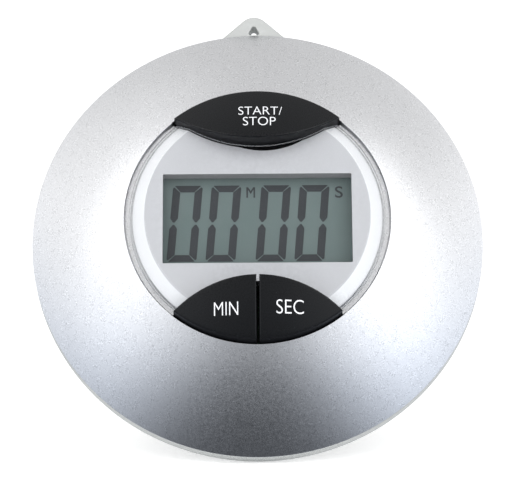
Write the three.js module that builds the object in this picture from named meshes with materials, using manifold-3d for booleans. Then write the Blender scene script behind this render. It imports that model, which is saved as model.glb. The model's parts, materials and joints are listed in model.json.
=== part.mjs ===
// A round digital kitchen timer that leans back on its fold-out stand.
// Every piece is drawn in the face frame: +X to the right, +Y up the face, +Z out of the face,
// with z = 0 on the flat back. The whole timer is then leaned back and set down on z = 0.
import * as THREE from "three";
import { mergeVertices } from "three/addons/utils/BufferGeometryUtils.js";
import Module from "manifold-3d";

const wasm = await Module();
wasm.setup();

// Driving dimensions, in millimetres and degrees.
const LEAN = 30; // how far the face leans back from upright
const BODY_RADIUS = 45;
const RIM_Z = 3.4; // where the silver shell starts, above the flat back
const DOME_RISE = 13.2; // from the rim up to the edge of the face opening
const OPENING_RADIUS = 26.14;
const WALL = 2;
const GAP = 0.3; // between pieces that touch
const FAR = 40; // beyond anything a cutting block has to reach
const AROUND = 48; // facets round the body
const MEDIUM_AROUND = 24; // facets round the battery well and the buzzer
const SMALL_AROUND = 16; // facets round a screw or a post
const KEY_SEGMENTS = 8; // facets along each arc of a key's outline

// Back cover and its hanging tab.
const COVER_RADIUS = BODY_RADIUS - 0.15;
const COVER_EDGE = 0.8; // radius of the edge between the back and the side
const COVER_FLOOR = 1.8;
const COVER_WALL = 1.5;

// Hanging tab and its eye: round corners as [x, y, radius], the sides straight between them.
const TAB_X = -0.5; // a little left of the middle
const TAB_CORNERS = [[-6.9, 43.6, 0.3], [6.9, 43.6, 0.3], [0, 45.98, 3.2]];
const EYE_CORNERS = [[-0.7, 45.5, 0.4], [0.7, 45.5, 0.4], [0, 46.52, 0.55]];

// Lens, mask and display.
const LENS_RADIUS = 25;
const LENS_FLAT_RADIUS = 22;
const LENS_TOP_Z = 19.5;
const LENS_EDGE_Z = 16.9; // foot of the bevel
const LENS_THICKNESS = 0.9;
const LENS_SKIRT = 1.1; // thickness of the lens below its bevel
const MASK_RADIUS = 23.5;
const MASK_FLAT_RADIUS = 21.4;
const SHEET = 0.4; // thickness of the mask
const DECK_TOP_Z = 15.6;
const DECK_THICKNESS = 1.6;
const WINDOW = { width: 36.85, height: 18.56, y: -0.86 };
const GLASS = { width: 40, height: 22.8, thickness: 2 };
const FILM = 0.2;
const FRAME_WALL = 1.1; // of the frame round the glass
const ZEBRA = { y: 10.4, length: 36, width: 1.6 };

// Keys: lens-shaped between the face opening and an inner arc.
const KEY_OUTER_RADIUS = 25.7;
const KEY_ARC_RADIUS = 24.3;
const KEY_ARC_Y = 38.5; // centre of the inner arc, above or below the face's centre
const KEY_EDGE_Z = 18.7; // top of a key at its outer arc
const KEY_CREST_Z = 23.2; // top of a key at the middle of its inner arc
const KEY_SLIT = 0.6; // between the two lower keys
const KEY_CLEARANCE = 0.35;
const KEY_FLANGE = { grow: 1, low: 12.3, high: 13.5 };
const KEY_SKIN = 1.2;
const KEY_POST_RADIUS = 1.6;
const KEY_POSTS = { start: [0, 20], minutes: [-9.5, -19.5], seconds: [9.5, -19.5] };
const SILICONE = { base: 3, top: 2, rim: 0.5 };

// Electronics.
const BOARD = { radius: 30, low: 8.6, high: 9.8 };
const BOARD_NOTCH = { half: 6, depth: 1.5 };
const CHIP = { at: [-8, 4], radius: 4.8, drop: 1.8 };
const CRYSTAL = { at: [-16, -10], radius: 1, length: 6 };
const CAPACITOR = { length: 2, width: 1.3, height: 0.9 };
const CAPACITORS_AT = [[-16, -5], [-12, -14]];
const BUZZER = { x: 0, y: 32, radius: 7.4, ceramic: 5, low: 2.1, sheet: 0.3, ringTop: 3.4 };
const WIRE = 0.4;
const CELL = { x: 28.2, y: 0, radius: 5.8, low: 2, high: 7.4 };

// Battery well in the back cover and the round door that closes it.
const WELL = { rim: 7.9, throat: 6.9, lugs: 7.6, inside: 6.2, outside: 8.8, top: 8 };
const WELL_STEPS = { rim: 2, throat: 3.2, lugs: 4.6 };
const DOOR = { radius: 7.6, low: 0.3, high: 1.7, skirt: 6.6, inside: 6.1, lug: 7.3 };
const DOOR_LUG = { low: 3.3, high: 4.2, half: 14, notch: 17 }; // half angles, in degrees
const COIN_SLOT = { half: 4.5, width: 1.6, depth: 1.1 };

// Stand and its hinge, which lies across the back.
const HINGE = { y: 20, z: 1.9, pinRadius: 0.8, pinHalf: 19.6 };
const STAND = { length: 58, halfTop: 17.5, halfFoot: 15.5, thickness: 2.2, heel: 2, barrel: 1.6 };
const RECESS = { half: 18, top: 22.7, bottom: -39, depth: 3.3, wall: 1.2 };
const HINGE_POCKET = { low: 17.5, depth: 4.4 }; // the deeper end of the recess, round the hinge

// Fasteners and magnets, by place in the face frame.
const CASE_POST = { at: 26, radius: 3, boss: 3.2, bore: 1.3, boreTop: 8, headRoom: 2.6, headTop: 1.9 };
const CASE_SCREW = { head: 2.2, shank: 1, low: 0.3, high: 1.6, tip: 7.6 };
const BOARD_POST = { at: [24.5, 11], radius: 1.8, bore: 1, boreTop: 13.6 };
const BOARD_SCREW = { head: 1.5, shank: 0.7, low: 7.1, high: 8.3, tip: 13 };
const MAGNET = { radius: 5, low: 0.3, high: 2.3, boss: 6.3, bossTop: 3.8 };
const MAGNETS_AT = [[-31, 12], [-31, -12]];

const MATERIALS = {
  silver: paint(0xc8cacf, 0.38, 0.55),
  cover: paint(0xdcdedc, 0.5, 0),
  clear: paint(0xe9edf0, 0.08, 0),
  mask: paint(0xd2d3d7, 0.35, 0.1),
  key: paint(0x26282b, 0.16, 0),
  glass: paint(0x6f7f7d, 0.12, 0),
  film: paint(0x737f7e, 0.3, 0),
  foil: paint(0xb9bdbd, 0.3, 0.6),
  frame: paint(0x2a2b2e, 0.6, 0),
  rubber: paint(0x8f8f93, 0.8, 0),
  silicone: paint(0xd9dadb, 0.7, 0),
  board: paint(0x1f6b3a, 0.45, 0),
  epoxy: paint(0x111214, 0.3, 0),
  tin: paint(0xc0c2c4, 0.28, 0.9),
  ceramic: paint(0xe8e4d8, 0.6, 0),
  brass: paint(0xc9a24e, 0.3, 0.9),
  steel: paint(0xb8babd, 0.3, 1),
  wireRed: paint(0xa32a22, 0.5, 0),
  wireBlack: paint(0x1d1d1f, 0.5, 0),
};

function paint(color, roughness, metalness) {
  return new THREE.MeshStandardMaterial({ color, roughness, metalness });
}

// ---- Geometry and solids ----

// A closed three.js geometry as a manifold-3d solid.
function solid(geometry) {
  const bare = geometry.index ? geometry.toNonIndexed() : geometry.clone();
  bare.deleteAttribute("normal");
  bare.deleteAttribute("uv");
  const merged = mergeVertices(bare, 1e-4);
  return new wasm.Manifold(
    new wasm.Mesh({
      numProp: 3,
      vertProperties: new Float32Array(merged.attributes.position.array),
      triVerts: new Uint32Array(merged.index.array),
    }),
  );
}

// A solid as a named mesh.
function piece(name, made, material) {
  const { numProp, vertProperties, triVerts } = made.getMesh();
  const positions = new Float32Array((vertProperties.length / numProp) * 3);
  for (let i = 0; i * 3 < positions.length; i++) {
    positions.set(vertProperties.subarray(i * numProp, i * numProp + 3), i * 3);
  }
  const geometry = new THREE.BufferGeometry();
  geometry.setAttribute("position", new THREE.BufferAttribute(positions, 3));
  geometry.setIndex(new THREE.BufferAttribute(new Uint32Array(triVerts), 1));
  geometry.computeVertexNormals();
  const mesh = new THREE.Mesh(geometry, material);
  mesh.name = name;
  return mesh;
}

// A profile of [radius, z] points turned round the Z axis: up the outside, back down the inside.
function turned(profile, around = AROUND) {
  const points = profile.map(([r, z]) => new THREE.Vector2(r, z));
  return solid(new THREE.LatheGeometry(points, around).rotateX(Math.PI / 2));
}

function disc(radius, low, high, [x, y] = [0, 0], around = SMALL_AROUND) {
  const made = new THREE.CylinderGeometry(radius, radius, high - low, around);
  return solid(made.rotateX(Math.PI / 2).translate(x, y, (low + high) / 2));
}

function ring(outer, inner, low, high, at, around = SMALL_AROUND) {
  return disc(outer, low, high, at, around).subtract(disc(inner, low - 1, high + 1, at, around));
}

function block([x0, x1], [y0, y1], [z0, z1]) {
  const made = new THREE.BoxGeometry(x1 - x0, y1 - y0, z1 - z0);
  return solid(made.translate((x0 + x1) / 2, (y0 + y1) / 2, (z0 + z1) / 2));
}

function slab(shape, low, high, curveSegments = 8) {
  const options = { depth: high - low, bevelEnabled: false, curveSegments };
  return solid(new THREE.ExtrudeGeometry(shape, options).translate(0, 0, low));
}

function roundedRectangle(width, height, radius, y = 0) {
  const [w, h] = [width / 2, height / 2];
  const corner = Math.PI / 2;
  const shape = new THREE.Shape();
  shape.absarc(w - radius, y + h - radius, radius, 0, corner);
  shape.absarc(-w + radius, y + h - radius, radius, corner, 2 * corner);
  shape.absarc(-w + radius, y - h + radius, radius, 2 * corner, 3 * corner);
  shape.absarc(w - radius, y - h + radius, radius, 3 * corner, 4 * corner);
  shape.closePath();
  return shape;
}

// A piece of a ring between two angles, in degrees.
function sector(outer, inner, from, to) {
  const [a, b] = [from, to].map(THREE.MathUtils.degToRad);
  const shape = new THREE.Shape();
  shape.absarc(0, 0, outer, a, b, false);
  shape.absarc(0, 0, inner, b, a, true);
  shape.closePath();
  return shape;
}

// [radius, z] points on a circle round (cr, cz), between two angles in degrees.
function arcPoints(cr, cz, radius, from, to, steps) {
  return Array.from({ length: steps + 1 }, (_, i) => {
    const angle = THREE.MathUtils.degToRad(from + ((to - from) * i) / steps);
    return [cr + radius * Math.cos(angle), cz + radius * Math.sin(angle)];
  });
}

// ---- The dome, which the shell and its bosses share ----

const DOME_DROP = (BODY_RADIUS ** 2 - OPENING_RADIUS ** 2 - DOME_RISE ** 2) / (2 * DOME_RISE);
const DOME_RADIUS = Math.hypot(BODY_RADIUS, DOME_DROP);
const DOME_Z = RIM_Z - DOME_DROP; // the dome's centre, far behind the back

// The dome, or one offset inwards, as points from radius to radius.
function domePoints(inset, fromRadius, toRadius, steps) {
  const radius = DOME_RADIUS - inset;
  const [from, to] = [fromRadius, toRadius].map((r) => THREE.MathUtils.radToDeg(Math.acos(r / radius)));
  return arcPoints(0, DOME_Z, radius, from, to, steps);
}

function domeRadiusAt(z, inset) {
  return Math.sqrt((DOME_RADIUS - inset) ** 2 - (z - DOME_Z) ** 2);
}

// ---- Keys ----

// The outline between the outer circle and a key's inner arc.
// side is 1 above the face's centre and -1 below it.
function keyOutline(side, outerRadius, grow) {
  const arcRadius = KEY_ARC_RADIUS + grow;
  const tipY = (KEY_ARC_Y ** 2 + outerRadius ** 2 - arcRadius ** 2) / (2 * KEY_ARC_Y);
  const tipX = Math.sqrt(outerRadius ** 2 - tipY ** 2);
  const outerAngle = Math.atan2(tipY, tipX);
  const innerAngle = Math.atan2(tipY - KEY_ARC_Y, tipX);
  const shape = new THREE.Shape();
  shape.absarc(0, 0, outerRadius, outerAngle, Math.PI - outerAngle, false);
  shape.absarc(0, KEY_ARC_Y, arcRadius, Math.PI - innerAngle, innerAngle, false);
  shape.closePath();
  const points = shape.getPoints(KEY_SEGMENTS).map((p) => new THREE.Vector2(side * p.x, side * p.y));
  return new THREE.Shape(points);
}

function keySlot(side, low, high, outerRadius = KEY_OUTER_RADIUS + KEY_CLEARANCE) {
  return slab(keyOutline(side, outerRadius, KEY_CLEARANCE), low, high);
}

// Everything under the keys' common bulging top, less an inset.
function keyDome(inset) {
  const [outer, inner] = [KEY_OUTER_RADIUS, KEY_ARC_Y - KEY_ARC_RADIUS];
  const centre =
    (KEY_CREST_Z ** 2 - KEY_EDGE_Z ** 2 + inner ** 2 - outer ** 2) / (2 * (KEY_CREST_Z - KEY_EDGE_Z));
  const radius = Math.hypot(outer, KEY_EDGE_Z - centre) - inset;
  const reach = OPENING_RADIUS + WALL;
  const from = THREE.MathUtils.radToDeg(Math.acos(reach / radius));
  return turned([[0, 0], [reach, 0], ...arcPoints(0, centre, radius, from, 90, 8)]);
}

// One key; half is 0 for a whole outline, or the sign of x for one of a pair.
function key(side, half, [postX, postY]) {
  const top = KEY_CREST_Z + 1;
  const outline = slab(keyOutline(side, KEY_OUTER_RADIUS, 0), KEY_FLANGE.low, top);
  const flange = slab(
    keyOutline(side, KEY_OUTER_RADIUS + KEY_FLANGE.grow, KEY_FLANGE.grow),
    KEY_FLANGE.low,
    KEY_FLANGE.high,
  );
  const hollow = slab(
    keyOutline(side, KEY_OUTER_RADIUS - KEY_SKIN, -KEY_SKIN),
    KEY_FLANGE.low - 1,
    top,
  ).intersect(keyDome(KEY_SKIN));
  let body = outline.intersect(keyDome(0)).add(flange);
  let inside = hollow;
  if (half !== 0) {
    const [near, far] = [(half * KEY_SLIT) / 2, half * FAR];
    const skin = near + half * KEY_SKIN;
    const across = (from) => [Math.min(from, far), Math.max(from, far)];
    body = body.intersect(block(across(near), [-FAR, FAR], [0, top + 1]));
    inside = inside.intersect(block(across(skin), [-FAR, FAR], [0, top + 1]));
  }
  const post = disc(KEY_POST_RADIUS, KEY_FLANGE.low, top, [postX, postY]);
  return body.subtract(inside).add(post.intersect(keyDome(KEY_SKIN / 2)));
}

function silicone([x, y]) {
  const [low, high] = [BOARD.high + GAP, KEY_FLANGE.low - GAP];
  const { base, top, rim } = SILICONE;
  const profile = [[0, low], [base, low], [base, low + rim], [top, high], [0, high]];
  return turned(profile, SMALL_AROUND).translate([x, y, 0]);
}

// ---- Case ----

function boardPosts() {
  const [x, y] = BOARD_POST.at;
  return [[x, y], [-x, y], [-x, -y], [x, -y]];
}

function casePosts() {
  const { at } = CASE_POST;
  return [[at, at], [-at, at], [-at, -at], [at, -at]];
}

function frontShell() {
  const deckBottom = DECK_TOP_Z - DECK_THICKNESS;
  const innerTop = domeRadiusAt(deckBottom, WALL);
  let shell = turned([
    [0, deckBottom],
    ...domePoints(WALL, innerTop, domeRadiusAt(RIM_Z, WALL), 5),
    ...domePoints(0, BODY_RADIUS, OPENING_RADIUS, 8),
    [OPENING_RADIUS, DECK_TOP_Z],
    [0, DECK_TOP_Z],
  ]);
  const underSkin = domePoints(WALL / 2, domeRadiusAt(RIM_Z, WALL / 2), OPENING_RADIUS, 6);
  const filled = turned([[0, RIM_Z], ...underSkin, [0, DECK_TOP_Z]]);
  for (const at of casePosts()) {
    shell = shell.add(disc(CASE_POST.radius, RIM_Z, deckBottom, at).intersect(filled));
  }
  for (const at of boardPosts()) {
    shell = shell.add(disc(BOARD_POST.radius, BOARD.high + GAP, deckBottom + DECK_THICKNESS / 2, at));
  }
  for (const at of casePosts()) {
    shell = shell.subtract(disc(CASE_POST.bore, 0, CASE_POST.boreTop, at));
  }
  for (const at of boardPosts()) {
    shell = shell.subtract(disc(BOARD_POST.bore, 0, BOARD_POST.boreTop, at));
  }
  const [low, high] = [deckBottom - 1, DECK_TOP_Z + 1];
  return shell
    .subtract(glassRoom(low, high))
    .subtract(keySlot(1, low, high))
    .subtract(keySlot(-1, low, high));
}

// The opening round the display's glass.
function glassRoom(low, high) {
  const outline = roundedRectangle(GLASS.width + 2 * GAP, GLASS.height + 2 * GAP, 0.5);
  return slab(outline, low, high, 3);
}

// The outline of a belt drawn tight round circles, each [x, y, radius], in anticlockwise order.
function belt(circles, outline) {
  const normals = circles.map(([x, y, r], i) => {
    const [nextX, nextY, nextR] = circles[(i + 1) % circles.length];
    const [dx, dy] = [nextX - x, nextY - y];
    return Math.atan2(dy, dx) - Math.PI / 2 + Math.asin((r - nextR) / Math.hypot(dx, dy));
  });
  circles.forEach(([x, y, r], i) => {
    outline.absarc(x, y, r, normals.at(i - 1), normals[i], false);
  });
  outline.closePath();
  return outline;
}

// A three-cornered tab with a three-cornered eye, as thick as the cover's rim.
function hangTab() {
  const shape = belt(TAB_CORNERS, new THREE.Shape());
  shape.holes.push(belt(EYE_CORNERS, new THREE.Path()));
  return slab(shape, 0, RIM_Z - GAP, 5).translate([TAB_X, 0, 0]);
}

function backCover() {
  const top = RIM_Z - GAP;
  const ledge = COVER_RADIUS - COVER_WALL;
  const inside = turned([
    [0, COVER_FLOOR / 2],
    [ledge, COVER_FLOOR / 2],
    ...domePoints(WALL + GAP, COVER_RADIUS - 2 * COVER_WALL, 0, 8),
  ]);
  let cover = turned([
    [0, 0],
    ...arcPoints(COVER_RADIUS - COVER_EDGE, COVER_EDGE, COVER_EDGE, -90, 0, 3),
    [COVER_RADIUS, top],
    [ledge, top],
    [ledge, COVER_FLOOR],
    [0, COVER_FLOOR],
  ])
    .add(hangTab())
    .add(standRecess(RECESS.wall, 0).intersect(inside))
    .add(disc(WELL.outside, 0, WELL.top, cellPlace()).intersect(inside))
    .subtract(standRecess(0, 1))
    .subtract(standPinBore())
    .add(buzzerRing());
  for (const at of MAGNETS_AT) {
    cover = cover.add(disc(MAGNET.boss, 0, MAGNET.bossTop, at));
    cover = cover.subtract(disc(MAGNET.radius + GAP, -1, MAGNET.high + GAP, at));
  }
  for (const at of casePosts()) {
    cover = cover.add(disc(CASE_POST.boss, 0, top, at));
    cover = cover.subtract(disc(CASE_POST.headRoom, -1, CASE_POST.headTop, at));
    cover = cover.subtract(disc(CASE_POST.bore, -1, top + 1, at));
  }
  const scoop = new THREE.SphereGeometry(9, 16, 8).translate(0, RECESS.bottom + 1, -7.6);
  return cover.subtract(soundSlots()).subtract(batteryWell()).subtract(solid(scoop));
}

function buzzerRing() {
  const { x, y, radius, ringTop } = BUZZER;
  return ring(radius + GAP + 1, radius + GAP, 1, ringTop, [x, y], MEDIUM_AROUND);
}

// Five slots in the back, under the buzzer, the middle one the longest.
function soundSlots() {
  const slots = [-2, -1, 0, 1, 2].map((i) => {
    const shape = roundedRectangle(0.9, 6.4 - 1.8 * Math.abs(i), 0.4);
    return slab(shape, -1, COVER_FLOOR + 1, 2).translate([BUZZER.x + 1.8 * i, BUZZER.y, 0]);
  });
  return slots.reduce((a, b) => a.add(b));
}

// Everything the battery, its door and its contacts need cut out of the back cover.
function batteryWell() {
  const at = cellPlace();
  let well = disc(WELL.rim, -1, WELL_STEPS.rim, at, MEDIUM_AROUND)
    .add(disc(WELL.throat, 1, WELL_STEPS.throat, at, MEDIUM_AROUND))
    .add(disc(WELL.lugs, WELL_STEPS.throat - 0.2, WELL_STEPS.lugs, at, MEDIUM_AROUND))
    .add(disc(WELL.inside, WELL_STEPS.lugs - 0.6, WELL.top + 1, at, MEDIUM_AROUND));
  for (const turn of [135, 315]) {
    const shape = sector(WELL.lugs, WELL.inside - 1.2, turn - DOOR_LUG.notch, turn + DOOR_LUG.notch);
    well = well.add(slab(shape, 1, WELL_STEPS.lugs - 0.6).translate([...at, 0]));
  }
  const contactSlot = block([CELL.x - WELL.outside - 0.2, CELL.x - 5.5], [-1.8, 1.8], [4.6, WELL.top + 1]);
  return well.add(contactSlot);
}

function cellPlace() {
  return [CELL.x, CELL.y];
}

// The space the folded stand lies in, grown by a wall, and reaching below the back by some more.
function standRecess(wall, below) {
  const { half, top, bottom, depth } = RECESS;
  const [left, right] = [-half - wall, half + wall];
  const leg = slab(recessOutline(half + wall, top + wall, bottom - wall), -below, depth + wall);
  const pocket = block(
    [left, right],
    [HINGE_POCKET.low - wall, top + wall],
    [-below, HINGE_POCKET.depth + wall],
  );
  return leg.add(pocket);
}

// Straight top, sides that close in a little, rounded foot.
function recessOutline(half, top, bottom) {
  const foot = half - 1.8; // half of the width at the foot
  const corner = 4.5;
  const shape = new THREE.Shape();
  shape.moveTo(-half, top);
  shape.lineTo(-foot - 0.25, bottom + corner);
  shape.quadraticCurveTo(-foot, bottom, -foot + corner, bottom);
  shape.lineTo(foot - corner, bottom);
  shape.quadraticCurveTo(foot, bottom, foot + 0.25, bottom + corner);
  shape.lineTo(half, top);
  shape.closePath();
  return shape;
}

function batteryDoor() {
  const { radius, low, high, skirt, inside, lug } = DOOR;
  let door = disc(radius, low, high, [0, 0], MEDIUM_AROUND);
  for (const turn of [0, 180]) {
    const [from, to] = [turn - DOOR_LUG.half, turn + DOOR_LUG.half];
    door = door.add(slab(sector(skirt, inside, from, to), high - GAP, DOOR_LUG.high, 6));
    door = door.add(slab(sector(lug, inside, from, to), DOOR_LUG.low, DOOR_LUG.high, 6));
  }
  const { half, width, depth } = COIN_SLOT;
  const slot = block([-half, half], [-width / 2, width / 2], [-1, depth]);
  return door.subtract(slot).translate([CELL.x, CELL.y, 0]);
}

// ---- Stand: drawn folded flat, with the pin's axis as its origin ----

const LEAN_RAD = THREE.MathUtils.degToRad(LEAN);

// Height along the world's vertical of a point [y, z] of the face frame.
function heightOf(y, z) {
  return y * Math.cos(LEAN_RAD) + z * Math.sin(LEAN_RAD);
}

const coverFoot = arcPoints(COVER_RADIUS - COVER_EDGE, COVER_EDGE, COVER_EDGE, -90, 0, 3)
  .map(([r, z]) => heightOf(-r, z))
  .reduce((a, b) => Math.min(a, b));
const HINGE_HEIGHT = heightOf(HINGE.y, HINGE.z) - coverFoot;
const STAND_OPEN = LEAN_RAD + Math.acos(HINGE_HEIGHT / STAND.length);

function stand() {
  const { length, halfTop, halfFoot, thickness, heel } = STAND;
  const t = thickness / 2;
  const tilt = LEAN_RAD - STAND_OPEN; // the floor's normal, seen from the folded leg
  const endAt = (z) => (-HINGE_HEIGHT - z * Math.sin(tilt)) / Math.cos(tilt);
  const corner = 4;
  const end = -length - 1;
  const plan = new THREE.Shape();
  plan.moveTo(-halfTop, heel);
  plan.lineTo(-halfFoot, end + corner + 1);
  plan.quadraticCurveTo(-halfFoot, end, -halfFoot + corner, end);
  plan.lineTo(halfFoot - corner, end);
  plan.quadraticCurveTo(halfFoot, end, halfFoot, end + corner + 1);
  plan.lineTo(halfTop, heel);
  plan.closePath();
  const side = new THREE.Shape();
  side.moveTo(heel, -t);
  side.lineTo(heel, t);
  side.lineTo(endAt(t), t);
  side.lineTo(endAt(-t), -t);
  side.closePath();
  const options = { depth: 2 * halfTop + 2, bevelEnabled: false };
  const profile = new THREE.ExtrudeGeometry(side, options).translate(0, 0, -halfTop - 1);
  const across = new THREE.Matrix4().makeBasis(
    new THREE.Vector3(0, 1, 0),
    new THREE.Vector3(0, 0, 1),
    new THREE.Vector3(1, 0, 0),
  );
  profile.applyMatrix4(across);
  const barrel = rod(STAND.barrel, 2 * halfTop, MEDIUM_AROUND);
  const bore = rod(HINGE.pinRadius + GAP, 2 * halfTop + 2);
  return slab(plan, -thickness, thickness).intersect(solid(profile)).add(barrel).subtract(bore);
}

// A rod along X, centred.
function rod(radius, length, around = SMALL_AROUND) {
  return solid(new THREE.CylinderGeometry(radius, radius, length, around).rotateZ(Math.PI / 2));
}

function standPinBore() {
  const bore = rod(HINGE.pinRadius + GAP, 2 * HINGE.pinHalf + 2 * GAP);
  return bore.translate([0, HINGE.y, HINGE.z]);
}

// ---- Lens, mask and display ----

function lens() {
  const underside = LENS_TOP_Z - LENS_THICKNESS;
  const foot = DECK_TOP_Z + GAP;
  const inner = LENS_RADIUS - LENS_SKIRT;
  const made = turned([
    [0, underside],
    [LENS_FLAT_RADIUS - GAP, underside],
    [inner, LENS_EDGE_Z - GAP],
    [inner, foot],
    [LENS_RADIUS, foot],
    [LENS_RADIUS, LENS_EDGE_Z],
    [LENS_FLAT_RADIUS, LENS_TOP_Z],
    [0, LENS_TOP_Z],
  ]);
  return made.subtract(keyRooms());
}

// The two keys' slots, open to the outside, as they cut the lens and the mask.
function keyRooms() {
  const [low, high] = [KEY_FLANGE.low, LENS_TOP_Z + 1];
  const outer = OPENING_RADIUS + 1;
  return keySlot(1, low, high, outer).add(keySlot(-1, low, high, outer));
}

function displayMask() {
  const top = LENS_TOP_Z - LENS_THICKNESS - GAP;
  const foot = DECK_TOP_Z + GAP;
  const plate = turned([
    [0, top - SHEET],
    [MASK_FLAT_RADIUS - GAP, top - SHEET],
    [MASK_RADIUS - SHEET, LENS_EDGE_Z - SHEET],
    [MASK_RADIUS - SHEET, foot],
    [MASK_RADIUS, foot],
    [MASK_RADIUS, LENS_EDGE_Z - GAP],
    [MASK_FLAT_RADIUS, top],
    [0, top],
  ]);
  const outline = (grow) =>
    roundedRectangle(WINDOW.width + grow, WINDOW.height + grow, 0.3 + grow / 2, WINDOW.y);
  return plate
    .add(slab(outline(1), foot, top - SHEET / 2, 3))
    .subtract(slab(outline(0), foot - 1, top + 1, 2))
    .subtract(keyRooms());
}

function glassBlock(shrink, low, high) {
  const [w, h] = [GLASS.width / 2 - shrink, GLASS.height / 2 - shrink];
  return block([-w, w], [-h, h], [low, high]);
}

const POLARIZER_LOW = DECK_TOP_Z - FILM;
const GLASS_HIGH = POLARIZER_LOW - GAP;
const GLASS_LOW = GLASS_HIGH - GLASS.thickness;

// A foil under the glass, between the two rubber strips.
function reflector() {
  const [x, y] = [ZEBRA.length / 2, ZEBRA.y - ZEBRA.width / 2 - 2 * GAP];
  return block([-x, x], [-y, y], [GLASS_LOW - GAP - FILM, GLASS_LOW - GAP]);
}

function zebraStrip(side) {
  const [x, y, half] = [ZEBRA.length / 2, side * ZEBRA.y, ZEBRA.width / 2];
  return block([-x, x], [y - half, y + half], [BOARD.high + GAP, GLASS_LOW - GAP]);
}

function lcdFrame() {
  const [low, high] = [BOARD.high + GAP, DECK_TOP_Z - DECK_THICKNESS - GAP];
  const grow = 2 * (GAP + FRAME_WALL);
  const outline = roundedRectangle(GLASS.width + grow, GLASS.height + grow, 1);
  return slab(outline, low, high, 3).subtract(glassRoom(low - 1, high + 1));
}

// ---- Electronics ----

function circuitBoard() {
  let board = disc(BOARD.radius, BOARD.low, BOARD.high, [0, 0], AROUND);
  const { half, depth } = BOARD_NOTCH;
  board = board.subtract(block([-half, half], [BOARD.radius - depth, FAR], [0, FAR]));
  for (const at of boardPosts()) {
    board = board.subtract(disc(BOARD_POST.bore, 0, FAR, at));
  }
  return board;
}

const UNDER_BOARD = BOARD.low - GAP;

// A drop of epoxy: a cap of a sphere, hanging under the board.
function controllerChip() {
  const { at, radius, drop } = CHIP;
  const centre = UNDER_BOARD - drop + radius;
  const rim = THREE.MathUtils.radToDeg(Math.asin((UNDER_BOARD - centre) / radius));
  const profile = [...arcPoints(0, centre, radius, -90, rim, 5), [0, UNDER_BOARD]];
  return turned(profile, MEDIUM_AROUND).translate([...at, 0]);
}

function timingCrystal() {
  const { at, radius, length } = CRYSTAL;
  return rod(radius, length).translate([...at, UNDER_BOARD - radius]);
}

function chipCapacitor([x, y]) {
  const [dx, dy] = [CAPACITOR.length / 2, CAPACITOR.width / 2];
  return block([x - dx, x + dx], [y - dy, y + dy], [UNDER_BOARD - CAPACITOR.height, UNDER_BOARD]);
}

function buzzerPlate(radius, low) {
  return disc(radius, low, low + BUZZER.sheet, [BUZZER.x, BUZZER.y], MEDIUM_AROUND);
}

// A wire from the buzzer's face round to the board's edge.
function buzzerLead(side) {
  const points = [
    [BUZZER.x + side * 2, BUZZER.y + 1, 3.4],
    [BUZZER.x + side * 2, BUZZER.y + 1, 4.6],
    [BUZZER.x + side * 2.4, BUZZER.y - 1.5, 6],
    [BUZZER.x + side * 2.8, BUZZER.y - 4.5, 7],
    [BUZZER.x + side * 3, BUZZER.y - 6, UNDER_BOARD - 0.1],
  ].map((p) => new THREE.Vector3(...p));
  const section = new THREE.Shape();
  section.absarc(0, 0, WIRE, 0, 2 * Math.PI);
  const options = {
    steps: 8,
    extrudePath: new THREE.CatmullRomCurve3(points),
    curveSegments: 3,
    bevelEnabled: false,
  };
  return solid(new THREE.ExtrudeGeometry(section, options));
}

function batteryCell() {
  return disc(CELL.radius, CELL.low, CELL.high, cellPlace(), MEDIUM_AROUND);
}

// A leaf with a pip that presses on the cell's end.
function batteryContactTop() {
  const [x, low] = [CELL.x, CELL.high + 0.2];
  const leaf = block([x - 4, x + 3], [-1.6, 1.6], [low + 0.2, low + 0.5]);
  return leaf.add(disc(1.2, low, low + 0.4, cellPlace()));
}

// An upright leaf with a pip that presses on the cell's side.
function batteryContactSide() {
  const x = CELL.x - CELL.radius;
  const leaf = block([x - 1.1, x - 0.7], [-1.4, 1.4], [4.9, 8.2]);
  return leaf.add(block([x - 1.1, x - 0.3], [-1, 1], [5.6, 6.4]));
}

// ---- Fasteners ----

// A pan-head screw that points up into the case, with a cross recess in its head.
function screw([x, y], { head, shank, low, high, tip }) {
  const edge = 0.5;
  const profile = [
    [0, low],
    [head - edge, low],
    [head, low + edge],
    [head, high],
    [shank, high],
    [shank, tip - edge],
    [0, tip],
  ];
  const [arm, half] = [head * 0.6, 0.2];
  const depth = [low - 1, low + 0.7];
  const cross = block([-arm, arm], [-half, half], depth).add(block([-half, half], [-arm, arm], depth));
  return turned(profile, SMALL_AROUND).subtract(cross).translate([x, y, 0]);
}

// ---- The scene graph ----

function group(...children) {
  const made = new THREE.Group();
  made.add(...children);
  return made;
}

const caseParts = group(
  piece("front_shell", frontShell(), MATERIALS.silver),
  piece("back_cover", backCover(), MATERIALS.cover),
  piece("battery_door", batteryDoor(), MATERIALS.cover),
);
MAGNETS_AT.forEach((at, i) => {
  const name = ["magnet_upper", "magnet_lower"][i];
  caseParts.add(piece(name, disc(MAGNET.radius, MAGNET.low, MAGNET.high, at), MATERIALS.steel));
});
casePosts().forEach((at, i) => {
  caseParts.add(piece(`case_screw_${i + 1}`, screw(at, CASE_SCREW), MATERIALS.steel));
});

const display = group(
  piece("lens", lens(), MATERIALS.clear),
  piece("display_mask", displayMask(), MATERIALS.mask),
  piece("lcd_polarizer", glassBlock(0.5, POLARIZER_LOW, DECK_TOP_Z), MATERIALS.film),
  piece("lcd_glass", glassBlock(0, GLASS_LOW, GLASS_HIGH), MATERIALS.glass),
  piece("lcd_reflector", reflector(), MATERIALS.foil),
  piece("lcd_frame", lcdFrame(), MATERIALS.frame),
  piece("zebra_strip_upper", zebraStrip(1), MATERIALS.rubber),
  piece("zebra_strip_lower", zebraStrip(-1), MATERIALS.rubber),
);

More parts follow.
